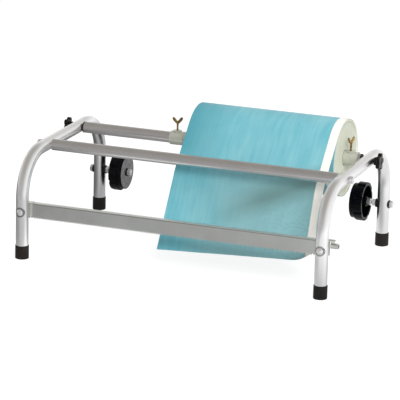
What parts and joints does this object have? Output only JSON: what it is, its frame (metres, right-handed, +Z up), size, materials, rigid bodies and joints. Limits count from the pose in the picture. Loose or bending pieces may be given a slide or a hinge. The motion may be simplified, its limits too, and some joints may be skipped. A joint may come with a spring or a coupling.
{
  "type": "masking_paper_dispenser",
  "caption": "Tabletop masking paper dispenser: bent tube side frames, a bar that carries the paper roll, a toothed cutter bar and a tape hub on each rear leg.",
  "frame": {"origin": "centre of the footprint on the floor plane", "axes": "X right along the bars, Y back towards the roll and the hubs, Z up"},
  "size_m": [0.652, 0.4336, 0.273],
  "materials": {
    "frame_tube": "satin",
    "bar_tube": "satin",
    "rubber": "matte",
    "zinc": "satin",
    "dark_washer": "matte",
    "knob_plastic": "matte",
    "cutter_steel": "satin",
    "bracket_steel": "satin",
    "hub_plastic": "gloss",
    "disc_steel": "satin",
    "holder_metal": "satin",
    "wing_brass": "satin",
    "cardboard": "matte",
    "blue_paper": "matte",
    "masking_tape": "matte"
  },
  "bodies": {
    "stand": {"cutter_bar": "cutter_steel", "cutter_bolts": "zinc", "cutter_bracket_left": "bracket_steel", "cutter_bracket_right": "bracket_steel", "cutter_nuts": "zinc", "cutter_washers": "zinc", "foot_front_left": "rubber", "foot_front_right": "rubber", "foot_rear_left": "rubber", "foot_rear_right": "rubber", "front_bar": "bar_tube", "front_bar_bolts": "zinc", "front_bar_plugs": "zinc", "front_bar_washers": "zinc", "paper_sheet": "blue_paper", "roll_bar": "bar_tube", "roll_bar_plugs": "zinc", "roll_bar_washers": "dark_washer", "sheet_tape_strip": "masking_tape", "side_frame_left": "frame_tube", "side_frame_right": "frame_tube", "tape_axle_bolts": "zinc", "tape_axle_nuts": "zinc", "tape_axle_washers": "dark_washer", "tape_leg_pads": "dark_washer"},
    "paper_roll_body": {"core_tube": "cardboard", "paper_roll": "blue_paper", "roll_tape_band": "masking_tape"},
    "holder_left": {"core_holder_left": "holder_metal"},
    "holder_right": {"core_holder_right": "holder_metal"},
    "wing_left": {"wing_bolt_left": "wing_brass"},
    "wing_right": {"wing_bolt_right": "wing_brass"},
    "tape_hub_left": {"tape_hub_drum_left": "hub_plastic", "tape_hub_disc_left": "disc_steel"},
    "tape_hub_right": {"tape_hub_drum_right": "hub_plastic", "tape_hub_disc_right": "disc_steel"},
    "knob_left": {"star_knob_left": "knob_plastic", "star_knob_stud_left": "zinc"},
    "knob_right": {"star_knob_right": "knob_plastic", "star_knob_stud_right": "zinc"}
  },
  "joints": [
    {"name": "roll_spin", "type": "hinge", "parent": "stand", "child": "paper_roll_body", "pos_m": [0, 0.0668, 0.198], "axis": [1, 0, 0], "continuous": true},
    {"name": "holder_left_slide", "type": "slide", "parent": "stand", "child": "holder_left", "axis": [1, 0, 0], "range_m": [-0.184, 0.0315]},
    {"name": "holder_right_slide", "type": "slide", "parent": "stand", "child": "holder_right", "axis": [1, 0, 0], "range_m": [0, 0.006]},
    {"name": "wing_left_turn", "type": "hinge", "parent": "holder_left", "child": "wing_left", "pos_m": [-0.0904, 0.0668, 0.218], "axis": [0, 0, 1], "continuous": true},
    {"name": "wing_right_turn", "type": "hinge", "parent": "holder_right", "child": "wing_right", "pos_m": [0.2644, 0.0668, 0.218], "axis": [0, 0, 1], "continuous": true},
    {"name": "tape_hub_left_spin", "type": "hinge", "parent": "stand", "child": "tape_hub_left", "pos_m": [-0.253, 0.1788, 0.084], "axis": [1, 0, 0], "continuous": true},
    {"name": "tape_hub_right_spin", "type": "hinge", "parent": "stand", "child": "tape_hub_right", "pos_m": [0.253, 0.1788, 0.084], "axis": [1, 0, 0], "continuous": true},
    {"name": "star_knob_left_turn", "type": "hinge", "parent": "stand", "child": "knob_left", "pos_m": [-0.312, 0.0668, 0.198], "axis": [1, 0, 0], "continuous": true},
    {"name": "star_knob_right_turn", "type": "hinge", "parent": "stand", "child": "knob_right", "pos_m": [0.312, 0.0668, 0.198], "axis": [1, 0, 0], "continuous": true}
  ]
}
